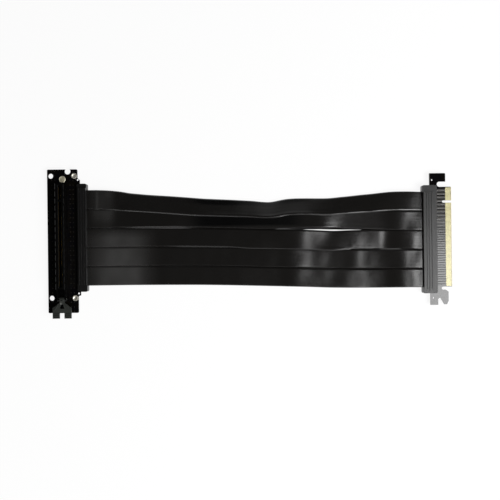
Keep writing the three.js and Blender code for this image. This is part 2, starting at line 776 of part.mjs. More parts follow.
// Each ribbon's route between the covers: how far along the free length, the sideways shift
// from the ribbon's own lane and the height of its middle
const routes = [
  [[0.042, 0, 5.3], [0.08, -0.5, 5.5], [0.12, -1.6, 5.3], [0.18, -2.8, 4.9], [0.24, -3.8, 4.5], [0.33, -5.5, 4.3],
    [0.42, -6.4, 4.4], [0.48, -7, 4.9], [0.546, -7.9, 5.3], [0.6, -5.4, 5], [0.65, -4.8, 4.9], [0.72, -4.8, 4.5],
    [0.77, -3.5, 4.4], [0.84, -1.8, 4.4], [0.91, 0, 5], [0.955, 0.2, 5.2]],
  [[0.042, 0.1, 4.7], [0.08, 0.3, 3.2], [0.12, 0.5, 2.4], [0.2, 0.9, 1.8], [0.33, 1.4, 1.3], [0.43, 1.1, 1.2],
    [0.53, 0.5, 1.2], [0.6, 1.1, 1.4], [0.735, 1.6, 1.5], [0.79, 1, 1.5], [0.84, 0.5, 2], [0.9, 0.3, 2.7],
    [0.955, 0.1, 4.8]],
  [[0.042, 0.1, 4.8], [0.12, 0.3, 2.8], [0.2, 0.5, 2], [0.33, 0.7, 1.3], [0.43, 0.5, 1.3], [0.53, 0, 1.7],
    [0.65, -0.2, 2.4], [0.735, -1, 2.1], [0.79, -0.4, 1.9], [0.86, 0.1, 1.6], [0.955, 0.2, 4.8]],
  [[0.042, 0.1, 4.8], [0.12, 0.4, 2.7], [0.2, 0.6, 1.8], [0.33, 0.8, 1.3], [0.43, 0.6, 1.4], [0.54, 0.1, 1.9],
    [0.65, -0.3, 1.6], [0.735, -1, 1.3], [0.79, -0.6, 1.5], [0.84, -0.6, 1.8], [0.91, -0.4, 3.5], [0.955, -0.1, 4.8]],
  [[0.042, 0.2, 4.8], [0.12, 0.5, 2.6], [0.2, 0.7, 1.7], [0.33, 0.9, 1.3], [0.43, 0.7, 1.4], [0.54, 0.2, 1.3],
    [0.65, -0.3, 1.8], [0.735, -0.9, 1.6], [0.84, -0.8, 1.3], [0.91, -0.5, 3.2], [0.955, -0.1, 4.8]],
];

function laneY(index) {
  return ((ribbonCount - 1) / 2 - index) * ribbonPitch;
}

// A sleeved ribbon: a flat section with eased edges, swept from cover to cover
function ribbon(index) {
  const lane = laneY(index);
  const half = ribbonThick / 2;
  const wide = ribbonWidth / 2;
  const section = outline([
    [-half + ribbonEase, -wide],
    [half - ribbonEase, -wide],
    [half, -wide + ribbonEase],
    [half, wide - ribbonEase],
    [half - ribbonEase, wide],
    [-half + ribbonEase, wide],
    [-half, wide - ribbonEase],
    [-half, -wide + ribbonEase],
  ]);
  const farLane = lane + plugOffset;
  const points = [
    new THREE.Vector3(socketFaceX - ribbonHeld, lane, ribbonZ),
    new THREE.Vector3(socketFaceX, lane, ribbonZ),
    new THREE.Vector3(socketFaceX + ribbonStraight, lane, ribbonZ),
    ...routes[index].map(([share, shift, z]) =>
      new THREE.Vector3(socketFaceX + share * ribbonFree, lane + shift + share * plugOffset, z)),
    new THREE.Vector3(plugFaceX - ribbonStraight, farLane, ribbonZ),
    new THREE.Vector3(plugFaceX, farLane, ribbonZ),
    new THREE.Vector3(plugFaceX + ribbonHeld, farLane, ribbonZ),
  ];
  const path = new THREE.CatmullRomCurve3(points, false, 'centripetal');
  return new THREE.ExtrudeGeometry(section, { steps: ribbonSteps, extrudePath: path });
}

// Materials

function plastic(color, roughness) {
  return new THREE.MeshStandardMaterial({ color, roughness, metalness: 0 });
}

function metal(color, roughness) {
  return new THREE.MeshStandardMaterial({ color, roughness, metalness: 1 });
}

// The assembly

const group = new THREE.Group();

function addPiece(name, shape, material) {
  const geometry = shape.isBufferGeometry ? shape : toGeometry(shape);
  const mesh = new THREE.Mesh(geometry, material);
  mesh.name = name;
  group.add(mesh);
}

addPiece('socket_board', socketBoard(), plastic(0x0b0b0c, 0.4));
addPiece('board_rivet', boardRivet(), metal(0xb3a984, 0.35));
addPiece('slot_housing', slotHousing(), plastic(0x0e0e0f, 0.5));
addPiece('slot_latch', slotLatch(), plastic(0x1a1d19, 0.5));
addPiece('socket_cover_upper', upperCover(socketEnd), plastic(0x141414, 0.45));
addPiece('socket_cover_lower', lowerCover(socketEnd), plastic(0x141414, 0.45));
addPiece('plug_board', plugBoard(), plastic(0x101112, 0.3));
addPiece('plug_cover_upper', upperCover(plugEnd), plastic(0x161616, 0.45));
addPiece('plug_cover_lower', lowerCover(plugEnd), plastic(0x161616, 0.45));

for (let i = 0; i < ribbonCount; i += 1) {
  const lane = laneY(i);
  addPiece(`socket_wires_${i + 1}`, wireEnds(socketEnd, lane), metal(0xb8b5ac, 0.4));
  addPiece(`plug_wires_${i + 1}`, wireEnds(plugEnd, lane), metal(0xb8b5ac, 0.4));
  addPiece(`ribbon_${i + 1}`, ribbon(i), plastic(0x0d0d0e, 0.3));
}

// The origin goes below the middle of everything but the ribbons, on the table
const rigid = new THREE.Box3();
for (const mesh of group.children.filter((piece) => !piece.name.startsWith('ribbon_'))) {
  rigid.expandByObject(mesh);
}
const middle = rigid.getCenter(new THREE.Vector3());
for (const mesh of group.children) {
  mesh.position.set(-middle.x, -middle.y, -rigid.min.z);
}

export default group;
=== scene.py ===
import math

import bpy
import numpy as np
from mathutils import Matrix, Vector


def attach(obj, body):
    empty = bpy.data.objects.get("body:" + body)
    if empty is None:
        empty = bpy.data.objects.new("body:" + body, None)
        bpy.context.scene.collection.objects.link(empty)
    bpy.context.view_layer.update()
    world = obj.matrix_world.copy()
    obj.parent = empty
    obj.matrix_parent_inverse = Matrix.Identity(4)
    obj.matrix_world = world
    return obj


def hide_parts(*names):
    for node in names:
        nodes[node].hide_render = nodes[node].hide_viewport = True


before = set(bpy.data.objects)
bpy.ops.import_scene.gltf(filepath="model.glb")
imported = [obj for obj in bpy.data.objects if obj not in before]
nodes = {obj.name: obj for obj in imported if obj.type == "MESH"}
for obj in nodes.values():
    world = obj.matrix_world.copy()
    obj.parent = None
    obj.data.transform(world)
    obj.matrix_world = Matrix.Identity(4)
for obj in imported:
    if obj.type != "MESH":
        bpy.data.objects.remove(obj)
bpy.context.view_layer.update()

MM = 0.001


# The camera stands over the middle of the cable and looks straight down on it, turned by less
# than a degree, from about an arm's length away.

camera_height = 620 * MM
picture_width = 426.6 * MM
board_level = 5 * MM
camera_turn = math.radians(-0.66)
camera_x = 0.1 * MM
camera_y = -7.2 * MM

lens = bpy.data.cameras.new("camera")
lens.lens = lens.sensor_width * (camera_height - board_level) / picture_width
camera = bpy.data.objects.new("camera", lens)
camera.location = (camera_x, camera_y, camera_height)
camera.rotation_euler = (0, 0, camera_turn)
bpy.context.collection.objects.link(camera)
bpy.context.scene.camera = camera
bpy.context.scene.view_settings.view_transform = "Standard"


# Five flat ribbons of shielded wire pairs, each wound in a thin black film that is sealed along an
# edge. They come level out of the left cover, lie down on the table and rise into the right one.
# The first is too long for its neighbours and leans on the second.

ribbon_width = 16 * MM
ribbon_thick = 1.8 * MM
ribbon_pitch = 16.3 * MM
ribbon_free = 285.4 * MM
ribbon_level = 5.175 * MM
ribbon_held = 2.4 * MM
ribbon_straight = 3 * MM
end_drop = 0.06 * MM
left_face = -138.35 * MM
band_middle = 4.85 * MM
far_shift = -4.6 * MM
# The skirt is the thin lip along the near edge, which reaches under the next ribbon
skirt_least = 0.3 * MM
skirt_under = 0.15 * MM
skirt_thick = 0.3 * MM
table_gap = 0.1 * MM
ribbon_rings = 320
# The far edge's flat seal, as its width and a profile of (inward, up) in mm
seal_width = 1.05 * MM
seal_profile = [(0.45, 0.45), (0.1, 0.2), (0, 0)]
# The near edge's corner and the bead behind it
square_corner = 0.35
bead_place = 0.43
bead_width = 0.45 * MM
bead_height = 0.07 * MM
# The ripples of the film, which fade near the covers as the swells do
faded_share = 0.02
ripple_count = 10
ripple_length = (14 * MM, 70 * MM)
ripple_skew = 150
ripple_height = 0.03 * MM

# Where each ribbon runs, as (share of the free length, shift to the back in mm, height in mm)
ribbon_routes = [
    [(0.042, 0, 5.3), (0.08, -0.5, 5.5), (0.12, -1.6, 5.3), (0.18, -2.8, 4.9), (0.24, -3.8, 4.5),
     (0.33, -5.5, 4.3), (0.42, -6.4, 4.4), (0.48, -7, 4.9), (0.546, -7.9, 5.3), (0.6, -5.4, 5),
     (0.65, -4.8, 4.9), (0.72, -4.8, 4.5), (0.77, -3.5, 4.4), (0.84, -1.8, 4.4), (0.91, 0, 5),
     (0.955, 0.2, 5.2)],
    [(0.042, 0.1, 4.7), (0.08, 0.3, 3.2), (0.12, 0.5, 2.4), (0.2, 0.9, 1.8), (0.33, 1.4, 1.3),
     (0.43, 1.1, 1.2), (0.53, 0.5, 1.2), (0.6, 1.1, 1.4), (0.735, 1.6, 1.5), (0.79, 1, 1.5),
     (0.84, 0.5, 2), (0.89, 0.3, 2.9), (0.93, 0.2, 4.55), (0.965, 0.1, 5.0)],
    [(0.042, 0.1, 4.8), (0.12, 0.3, 2.8), (0.2, 0.5, 2), (0.33, 0.7, 1.3), (0.43, 0.5, 1.3),
     (0.53, 0, 1.7), (0.65, -0.2, 2.4), (0.735, -1, 2.1), (0.79, -0.4, 2.0), (0.84, 0, 1.93),
     (0.87, 0.1, 1.92), (0.9, 0.15, 2.1), (0.94, 0.2, 4.3), (0.965, 0.2, 4.98)],
    [(0.042, 0.1, 4.8), (0.12, 0.4, 2.7), (0.2, 0.6, 1.8), (0.33, 0.8, 1.3), (0.43, 0.6, 1.4),
     (0.54, 0.1, 1.9), (0.65, -0.3, 1.6), (0.735, -1, 1.3), (0.79, -0.6, 1.5), (0.84, -0.6, 1.8),
     (0.89, -0.5, 2.6), (0.935, -0.25, 4.6), (0.965, -0.1, 4.98)],
    [(0.042, 0.2, 4.8), (0.12, 0.5, 2.6), (0.2, 0.7, 1.7), (0.33, 0.9, 1.3), (0.43, 0.7, 1.4),
     (0.54, 0.2, 1.3), (0.65, -0.3, 1.8), (0.735, -0.9, 1.6), (0.84, -0.8, 1.3), (0.89, -0.6, 2.2),
     (0.935, -0.3, 4.5), (0.965, -0.1, 4.98)],
]
# How each ribbon leans, as (share of the free length, degrees), its near edge up
ribbon_leans = [
    [(0, 0), (0.05, 0), (0.09, 8), (0.13, 21), (0.18, 24), (0.3, 22), (0.36, 26), (0.42, 27),
     (0.48, 30), (0.546, 33), (0.6, 31), (0.65, 30), (0.72, 27), (0.77, 25), (0.84, 17), (0.93, 7),
     (0.98, 0), (1, 0)],
    [(0, 0), (0.06, 0), (0.12, 7), (0.25, 7), (0.33, 1), (0.6, 1), (0.68, 2), (0.76, -2),
     (0.82, -1.5), (0.95, -2), (0.985, 0), (1, 0)],
    [(0, 0), (0.15, 0), (0.25, 5), (0.5, 5), (0.59, -2), (0.67, -2), (0.74, 3), (0.8, 0),
     (0.87, -2), (0.93, -1), (1, 0)],
    [(0, 0), (0.3, 0), (0.5, 1.5), (0.6, 0), (1, 0)],
    [(0, 0), (0.4, 0), (0.55, -1.5), (0.7, 0.5), (1, 0)],
]
# How far each ribbon's near edge laps over the next ribbon, in mm
ribbon_laps = [
    [(0, 0), (0.03, 0.5), (0.045, 0.1), (0.06, 0.5), (0.5, 0.5), (0.94, 0.4), (1, 0)],
    [(0, 0), (0.1, -0.3), (0.13, -0.2), (0.28, -0.1), (0.31, 0.2), (1, 0.3)],
    [(0, 0), (0.18, -0.6), (0.4, -0.2), (0.5, 0.9), (0.72, 1.2), (0.775, 0.9), (0.79, 0), (1, 0)],
    [(0, -0.1), (0.1, -0.35), (0.95, -0.35), (1, 0)],
    [(0, 0), (1, 0)],
]
# The gap that stays open between the second ribbon and the third, as (share, mm)
open_gap = [(0, 0), (0.64, 0), (0.665, 0.45), (0.7, 0.9), (0.739, 1.05), (0.775, 0.6), (0.81, 0.25),
            (0.825, 0), (1, 0)]
# How round each ribbon's near edge is: 0 is square, 1 round with a bead, 2 with a thick bead
ribbon_lips = [
    [(0, 0.2), (0.05, 0.3), (0.09, 1), (0.5, 1), (0.58, 1.4), (0.66, 1.2), (0.7, 0.8), (0.8, 0.8),
     (0.95, 0.6), (1, 0.4)],
    [(0, 0), (0.12, 0.3), (0.17, 2), (0.24, 2), (0.3, 0.4), (0.36, 0), (0.58, 0), (0.64, 1),
     (0.85, 1), (0.9, 0.2), (1, 0)],
    [(0, 0), (0.2, 0.1), (0.3, 0.7), (0.6, 0.8), (0.7, 1.6), (0.76, 1.6), (0.78, 0), (1, 0)],
    [(0, 0), (1, 0)],
    [(0, 0.2), (1, 0.2)],
]
# Swells, as (share of the free length, half length in mm, height in mm). The whole ribbon rises in
# one, or only its film where (place across in mm, half width in mm) follow.
ribbon_swells = [
    [(0.026, 1.4, 0.42), (0.05, 4, 0.35, 5, 3), (0.62, 9, 0.2), (0.925, 6, 0.2)],
    [(0.09, 8, 0.2), (0.3, 12, 0.2), (0.705, 11, 0.72)],
    [(0.07, 9, 0.25), (0.35, 14, 0.2), (0.625, 13, 1.32), (0.79, 2, 0.12, -6, 2)],
    [(0.08, 10, 0.28), (0.2, 10, 0.2), (0.535, 8, 0.25), (0.615, 12, 1.2), (0.8, 10, 0.52)],
    [(0.1, 10, 0.28), (0.25, 12, 0.2), (0.47, 9, 0.2), (0.62, 11, 0.8), (0.8, 10, 0.36)],
]


def centripetal(points, count):
    """Evenly spaced points on the centripetal curve through the route's points."""
    points = np.array(points)
    padded = np.vstack([2 * points[0] - points[1], points, 2 * points[-1] - points[-2]])
    fine = []
    for p0, p1, p2, p3 in zip(padded, padded[1:], padded[2:], padded[3:]):
        gaps = [max(np.linalg.norm(b - a) ** 0.5, 1e-9) for a, b in ((p0, p1), (p1, p2), (p2, p3))]
        slope1 = (p1 - p0) / gaps[0] - (p2 - p0) / (gaps[0] + gaps[1]) + (p2 - p1) / gaps[1]
        slope2 = (p2 - p1) / gaps[1] - (p3 - p1) / (gaps[1] + gaps[2]) + (p3 - p2) / gaps[2]
        slope1, slope2 = slope1 * gaps[1], slope2 * gaps[1]
        t = np.linspace(0, 1, 60, endpoint=False)[:, None]
        fine.append(
            p1
            + slope1 * t
            + (3 * (p2 - p1) - 2 * slope1 - slope2) * t**2
            + (2 * (p1 - p2) + slope1 + slope2) * t**3
        )
    fine = np.vstack([*fine, points[-1:]])
    run = np.concatenate([[0], np.cumsum(np.linalg.norm(np.diff(fine, axis=0), axis=1))])
    even = np.linspace(0, run[-1], count)
    return np.column_stack([np.interp(even, run, fine[:, k]) for k in range(3)]), run[-1]


def eased(x, stops):
    """A smooth value between the stops, which are pairs of place and value."""
    places, values = np.array(stops, float).T
    i = np.clip(np.searchsorted(places, x, side="right") - 1, 0, len(places) - 2)
    t = np.clip((x - places[i]) / (places[i + 1] - places[i]), 0, 1)
    return values[i] + (values[i + 1] - values[i]) * t * t * (3 - 2 * t)


def mesh_object(name, vertices, faces, material=None, smooth=True):
    """A mesh at the origin with its place in its vertices."""
    mesh = bpy.data.meshes.new(name)
    mesh.from_pydata([tuple(v) for v in vertices], [], faces)
    mesh.validate()
    piece = bpy.data.objects.new(name, mesh)
    bpy.context.collection.objects.link(piece)
    if material:
        mesh.materials.append(material)
    if smooth:
        mesh.shade_smooth()
    return piece


def ribbon_section():
    """The ribbon's section from the near edge over the top and round, as (across, up, skirt)."""
    half = ribbon_thick / 2
    edge = ribbon_width / 2
    round_at = edge - half
    rows = [(across, half, 0) for across in np.linspace(-round_at, edge - seal_width, 25)]
    rows += [(edge - inward * MM, up * MM, 0) for inward, up in seal_profile]
    for turn in np.linspace(0, -math.pi / 2, 5)[1:-1]:
        rows.append((round_at + half * math.cos(turn), half * math.sin(turn), 0))
    rows += [(across, -half, 0) for across in np.linspace(round_at, -round_at, 13)]
    for turn in np.linspace(-math.pi / 2, -math.pi * 0.95, 4)[1:]:
        rows.append((-round_at + half * math.cos(turn), half * math.sin(turn), 0))
    rows += [(-edge, -skirt_thick, 1), (-edge, 0, 1)]
    for turn in np.linspace(-math.pi * 1.05, -math.pi * 1.5, 7)[:-1]:
        rows.append((-round_at + half * math.cos(turn), half * math.sin(turn), 0))
    return np.array(rows)


def ribbon_centres(index):
    """One ribbon's centres, evenly spaced along its route, and its length."""
    lane = band_middle + (2 - index) * ribbon_pitch
    right_face = left_face + ribbon_free
    route = [
        (left_face - ribbon_held, lane, ribbon_level),
        (left_face, lane, ribbon_level),
        (left_face + ribbon_straight, lane, ribbon_level),
    ]
    for share, shift, height in ribbon_routes[index]:
        side = lane + shift * MM + share * far_shift
        route.append((left_face + share * ribbon_free, side, height * MM))
    route += [
        (right_face - ribbon_straight, lane + far_shift, ribbon_level - end_drop),
        (right_face, lane + far_shift, ribbon_level),
        (right_face + ribbon_held, lane + far_shift, ribbon_level),
    ]
    return centripetal(route, ribbon_rings)


def ribbon_mesh(index):
    """One ribbon's vertices, faces, centres, length, and each vertex's place along and across."""
    centres, length = ribbon_centres(index)
    along = np.gradient(centres, axis=0)
    along /= np.linalg.norm(along, axis=1)[:, None]
    share = (centres[:, 0] - left_face) / ribbon_free
    lean = np.radians(eased(share, ribbon_leans[index]))[:, None]
    flat_side = np.cross([0, 0, 1], along)
    flat_side /= np.linalg.norm(flat_side, axis=1)[:, None]
    flat_up = np.cross(along, flat_side)
    side = flat_side * np.cos(lean) - flat_up * np.sin(lean)
    up = flat_up * np.cos(lean) + flat_side * np.sin(lean)

    across, rise, skirt = ribbon_section().T
    free = np.clip(np.minimum(share, 1 - share) / faded_share, 0, 1)[:, None]
    crown = np.clip(1 - (2 * across / ribbon_width) ** 4, 0, 1) * (rise > 0)
    swell = np.zeros((len(centres), len(across)))
    raised = np.zeros((len(centres), 1))
    for place, half_length, height, *where in ribbon_swells[index]:
        bump = np.exp(-(((share - place) * ribbon_free / (half_length * MM)) ** 2))[:, None]
        if where:
            bump = bump * np.exp(-(((across - where[0] * MM) / (where[1] * MM)) ** 2))
            swell = swell + height * MM * bump
        else:
            raised = raised + height * MM * bump
    noise = np.random.default_rng(40 + index)
    for _ in range(ripple_count):
        wave = 2 * math.pi / noise.uniform(*ripple_length)
        skew = noise.uniform(-ripple_skew, ripple_skew)
        phase = noise.uniform(0, 2 * math.pi)
        ripple = np.sin(wave * centres[:, :1] + skew * across + phase)
        swell = swell + ripple_height * ripple
    lap = eased(share, ribbon_laps[index])[:, None] * MM
    near = np.clip(-2 * across / ribbon_width, 0, None) ** 3
    lip = eased(share, ribbon_lips[index])[:, None]
    half = ribbon_thick / 2
    out = np.clip((-across - (ribbon_width / 2 - half)) / half, 0, 1)
    corner = (out > 0) & (rise > 0)
    power = np.clip(square_corner + (1 - square_corner) * lip, square_corner, 1)
    spread = np.where(corner, half * (1 - out**power) - ribbon_width / 2, across) - lap * near
    rise = np.where(corner, half * np.clip(rise / half, 0, 1) ** power, rise)
    if index < 4:
        below = ribbon_centres(index + 1)[0]
        apart = centres[:, 1] - np.interp(centres[:, 0], below[:, 0], below[:, 1])
        reach = apart - ribbon_width + skirt_under
        if index == 1:
            gap = eased(share, open_gap) * MM
            reach = np.where(gap > 0, reach - skirt_under - gap, reach)
        reach = np.clip(reach / np.cos(lean[:, 0]) - lap[:, 0], skirt_least, None)
    else:
        reach = np.full(len(centres), skirt_least)
    spread = spread - reach[:, None] * skirt
    height = rise + swell * free * crown + raised * free
    bead = np.exp(-(((across + ribbon_width * bead_place) / bead_width) ** 2)) * (rise > 0)
    height = height + bead_height * bead * free * lip
    rings = centres[:, None] + spread[..., None] * side[:, None] + height[..., None] * up[:, None]
    lowest = rings[..., 2].min(axis=1)
    lift = np.clip(table_gap - lowest, 0, None)
    rings[..., 2] += lift[:, None]
    centres += up * raised * free
    centres[:, 2] += lift
    size = len(across)
    last = (len(centres) - 1) * size
    faces = []
    for k in range(0, last, size):
        for j in range(size):
            n = (j + 1) % size
            faces.append((k + j, k + n, k + size + n, k + size + j))
    faces.append(tuple(reversed(range(size))))
    faces.append(tuple(last + j for j in range(size)))
    run = np.repeat(np.linspace(0, length, len(centres)), size)
    laid = np.column_stack([run, np.tile(across, len(centres))])
    return rings.reshape(-1, 3), faces, centres, length, laid


class Socket:
    """One output of a shader node, so that the maths on it is written as Python."""

    def __init__(self, graph, socket):
        self.graph = graph
        self.socket = socket

    def maths(self, operation, *values, clamp=False):
        settings = {"operation": operation, "use_clamp": clamp}
        return self.graph.node("ShaderNodeMath", settings, dict(enumerate(values)))

    def __add__(self, other):
        return self.maths("ADD", self, other)

    __radd__ = __add__

    def __mul__(self, other):
        return self.maths("MULTIPLY", self, other)

    __rmul__ = __mul__

    def __sub__(self, other):
        return self.maths("SUBTRACT", self, other)

    def __rsub__(self, other):
        return self.maths("SUBTRACT", other, self)

    def __mod__(self, other):
        return self.maths("FLOORED_MODULO", self, other)

    def __gt__(self, other):
        return self.maths("GREATER_THAN", self, other)

    def __lt__(self, other):
        return self.maths("LESS_THAN", self, other)

    def __abs__(self):
        return self.maths("ABSOLUTE", self)

    def rise(self, low, high):
        """0 below low, 1 above high and smooth between them."""
        settings = {"interpolation_type": "SMOOTHSTEP"}
        return self.graph.node("ShaderNodeMapRange", settings, {0: self, 1: low, 2: high})

    def between(self, low, high, soft):
        return self.rise(low - soft, low + soft) * (1 - self.rise(high - soft, high + soft))


class Graph:
    """A node tree that is filled by one method."""

    def __init__(self, tree):
        self.tree = tree
        tree.nodes.clear()

    def node(self, kind, settings=None, values=None, out=0):
        made = self.tree.nodes.new(kind)
        for name, value in (settings or {}).items():
            setattr(made, name, value)
        for key, value in (values or {}).items():
            if isinstance(value, (Socket, list)):
                for one in value if isinstance(value, list) else [value]:
                    self.tree.links.new(one.socket, made.inputs[key])
            else:
                made.inputs[key].default_value = value
        return Socket(self, made.outputs[out]) if len(made.outputs) else None

    def in_mm(self, vector):
        values = {0: vector, "Scale": 1 / MM}
        return self.node("ShaderNodeVectorMath", {"operation": "SCALE"}, values)

    def place(self):
        """The Object coordinates in millimetres, as x, y and z, and as one vector."""
        scaled = self.in_mm(self.node("ShaderNodeTexCoord", out="Object"))
        parts = [self.node("ShaderNodeSeparateXYZ", None, {0: scaled}, out=k) for k in range(3)]
        return (*parts, scaled)

    def facing_up(self):
        """The upward part of the surface's normal."""
        normal = self.node("ShaderNodeTexCoord", out="Normal")
        return self.node("ShaderNodeSeparateXYZ", None, {0: normal}, out=2)

    def noise(self, where, scale, detail=3, roughness=0.5):
        values = {"Vector": where, "Scale": scale, "Detail": detail, "Roughness": roughness}
        return self.node("ShaderNodeTexNoise", None, values)

    def stretched(self, where, scale):
        """The vector where, stretched by three factors."""
        return self.node("ShaderNodeVectorMath", {"operation": "MULTIPLY"}, {0: where, 1: scale})

    def mixed(self, mask, first, second):
        """The first colour where mask is 0, the second where it is 1."""
        values = {"Factor": mask, 6: first, 7: second}
        return self.node("ShaderNodeMix", {"data_type": "RGBA"}, values, out=2)

    def bump(self, height, distance, strength):
        values = {"Height": height, "Distance": distance, "Strength": strength}
        return self.node("ShaderNodeBump", None, values)

    def surface(self, **values):
        """Closes the tree with the one shader, whose sockets are named with underscores."""
        inputs = {name.replace("_", " "): value for name, value in values.items()}
        shader = self.node("ShaderNodeBsdfPrincipled", None, inputs)
        self.node("ShaderNodeOutputMaterial", None, {"Surface": shader})


def grey(level, warm=0.0):
    return (level * (1 + warm), level, level * (1 - warm), 1)


def new_material(name):
    material = bpy.data.materials.new(name)
    material.use_nodes = True
    return material, Graph(material.node_tree)


film, g = new_material("black_film")
x, y, z, where = g.place()
laid = g.in_mm(g.node("ShaderNodeUVMap"))
run = g.node("ShaderNodeSeparateXYZ", None, {0: laid}, out=0)
long_grain = g.noise(g.stretched(laid, (0.03, 1.6, 1)), 1.0, 4, 0.6)
pairs = g.noise(g.stretched(laid, (0.004, 0.55, 0.2)), 1.0, 1)
scuffs = g.noise(where, 0.35, 6, 0.7)
# The film is rubbed dull where the near ribbons and the far ones leave the left cover, and there
# its colour is also lightened as a painted sheen
near_rub_and_sheen = run.between(6, 52, 14) * y.rise(16, 2) * (0.55 + g.noise(where, 0.05, 1) * 0.6)
far_rub_and_sheen = x.between(-134, -116, 4) * y.rise(10, 26) * 0.5
wear_and_sheen = near_rub_and_sheen + far_rub_and_sheen
dust = g.noise(where, 6.0, 2).rise(0.66, 0.8)
# Painted shade: the second ribbon's colour is darkened where it lies in the dark under the first
painted_shade_under_first = x.between(-48, 42, 10) * y.rise(12.5, 15) * (1 - z.rise(3.5, 5))
film_colour = g.mixed(painted_shade_under_first, grey(0.006, 0.08), grey(0.0003))
film_bump = g.bump(long_grain * 0.3 + pairs * 0.7 + scuffs * 0.4, 0.08 * MM, 0.6)
g.surface(
    Base_Color=g.mixed(dust * 0.12 + wear_and_sheen * 0.45, film_colour, grey(0.04, 0.03)),
    Roughness=0.135 + scuffs * 0.08 + long_grain * 0.03 + wear_and_sheen * 0.22,
    Specular_IOR_Level=0.5,
    Normal=film_bump,
)

for i in range(5):
    vertices, faces, centres, length, laid = ribbon_mesh(i)
    ribbon = mesh_object(f"sleeved_ribbon_{i + 1}", vertices, faces, film)
    layer = ribbon.data.uv_layers.new(name="laid")
    corners = np.array([corner.vertex_index for corner in ribbon.data.loops])
    layer.data.foreach_set("uv", laid[corners].ravel())
    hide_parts(f"ribbon_{i + 1}")
    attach(ribbon, "cable")
    [tuple(p) for p in centres[::4]] + [tuple(centres[-1])]


# The slot's board is a strip of glass-fibre laminate, covered with a satin black lacquer that
# shows the copper tracks under it as faint ridges. Its cut edges are bare and dark brown. Two
# plated eyelets are pressed into the screw holes on the cable's side.

slot_x = -159.35
slot_key_y = 35.85
slot_top_y = 50.35
slot_bottom_y = -38.65
screw_hole_x = 10
screw_hole_top = 7.4
screw_hole_bottom = 7.8
weld_reach = 0.001 * MM
sharp_angle = math.radians(38)
eyelet_profile = [
    (0, 4.55), (1.1, 4.55), (1.45, 4.8), (1.75, 5.12), (2.2, 5.16), (2.42, 5.08), (2.42, 5.01),
    (2.15, 5.01), (2.15, 3.39), (2.42, 3.39), (2.42, 3.32), (2.2, 3.24), (1.75, 3.28), (1.45, 3.5),
    (1.1, 4.1), (0, 4.1),
]


def break_edges(node, width):
    """Gives a CAD node's sharp edges a small radius, and returns its object."""
    piece = nodes[node]
    weld = piece.modifiers.new("weld", "WELD")
    weld.merge_threshold = weld_reach
    bevel = piece.modifiers.new("edges", "BEVEL")
    bevel.width = width
    bevel.segments = 2
    bevel.limit_method = "ANGLE"
    bevel.angle_limit = sharp_angle
    return piece


def finish_node(node, material, edge=None):
    """Gives a CAD node its material and, where edge says how wide, broken edges."""
    piece = break_edges(node, edge) if edge else nodes[node]
    for place in piece.material_slots:
        place.material = material


def turned(name, profile, x, y, material, sides=32):
    """A piece turned from a closed profile of (radius, height), whose ends lie on the axis."""
    vertices = []
    rings = []
    for radius, height in profile:
        count = sides if radius > 0 else 1
        rings.append([len(vertices) + k for k in range(count)])
        for k in range(count):
            turn = 2 * math.pi * k / sides
            place = (x + radius * math.cos(turn), y + radius * math.sin(turn), height)
            vertices.append(Vector(place) * MM)
    faces = []
    for low, high in zip(rings, rings[1:]):
        for k in range(sides):
            n = (k + 1) % sides
            a, b = low[k % len(low)], low[n % len(low)]
            c, d = high[n % len(high)], high[k % len(high)]
            faces.append(tuple(dict.fromkeys((a, d, c, b))))
    return mesh_object(name, vertices, faces, material)


def lacquer(g, where, tracks):
    """Colour, roughness and height of black lacquer over copper, where tracks is 1 over copper."""
    cloud = g.noise(where, 0.25, 4, 0.6)
    grain = g.noise(where, 5.0, 2)
    tint = g.mixed(cloud.rise(0.35, 0.65), (0.0012, 0.0011, 0.002, 1), (0.0026, 0.002, 0.0012, 1))
    colour = g.mixed(tracks * 0.5, tint, (0.006, 0.006, 0.005, 1))
    return colour, 0.17 + grain * 0.05 + cloud * 0.04, tracks * 0.8 + grain * 0.06


socket_lacquer, g = new_material("black_lacquer")
x, y, _, where = g.place()
edge = abs(g.facing_up()) < 0.5
off_slot = abs(x - slot_x)
lanes = abs((y % 2.0) - 1.0).rise(0.45, 0.55)
drift = g.noise(g.stretched(where, (0.3, 0.08, 0)), 1.0, 1).rise(0.4, 0.6)
fan_out = off_slot.between(4.2, 11.6, 0.1) * y.between(slot_bottom_y + 2, slot_top_y - 2, 0.2)
via_x = abs(((x - slot_x) % 2.6) - 1.3)
via_y = abs((y % 4.0) - 2.0)
via = ((via_x * via_x + via_y * via_y) < 0.07) * off_slot.between(5.0, 11.0, 0.1)
colour, roughness, height = lacquer(g, where, lanes * fan_out * drift)
colour = g.mixed(via * (1 - edge) * 0.7, colour, grey(0.05, 0.1))
colour = g.mixed(edge, colour, (0.012, 0.009, 0.005, 1))
g.surface(
    Base_Color=colour,
    Roughness=roughness + edge * 0.35,
    Specular_IOR_Level=0.18,
    Normal=g.bump(height + via * 0.6, 0.05 * MM, 0.6),
)
finish_node("socket_board", socket_lacquer, 0.08 * MM)

plated, g = new_material("plated_eyelet")
where = g.place()[3]
wear = g.noise(where, 1.6, 5, 0.65)
pits = g.noise(where, 9.0, 2)
g.surface(
    Base_Color=g.mixed(wear.rise(0.35, 0.7), (0.72, 0.7, 0.64, 1), (0.5, 0.47, 0.38, 1)),
    Metallic=0.9,
    Roughness=0.34 + wear * 0.25,
    Normal=g.bump(wear + pits * 0.3, 0.06 * MM, 0.7),
)
for name, hole_y in (
    ("upper_eyelet", slot_top_y + screw_hole_top),
    ("lower_eyelet", slot_bottom_y - screw_hole_bottom),
):
    eyelet = turned(name, eyelet_profile, slot_x + screw_hole_x, hole_y, plated)
    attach(eyelet, "cable")


# The rivet above the slot is turned from brass and tinned thinly, so that the brass shows through
# on its rim. Its shank is upset under the board.

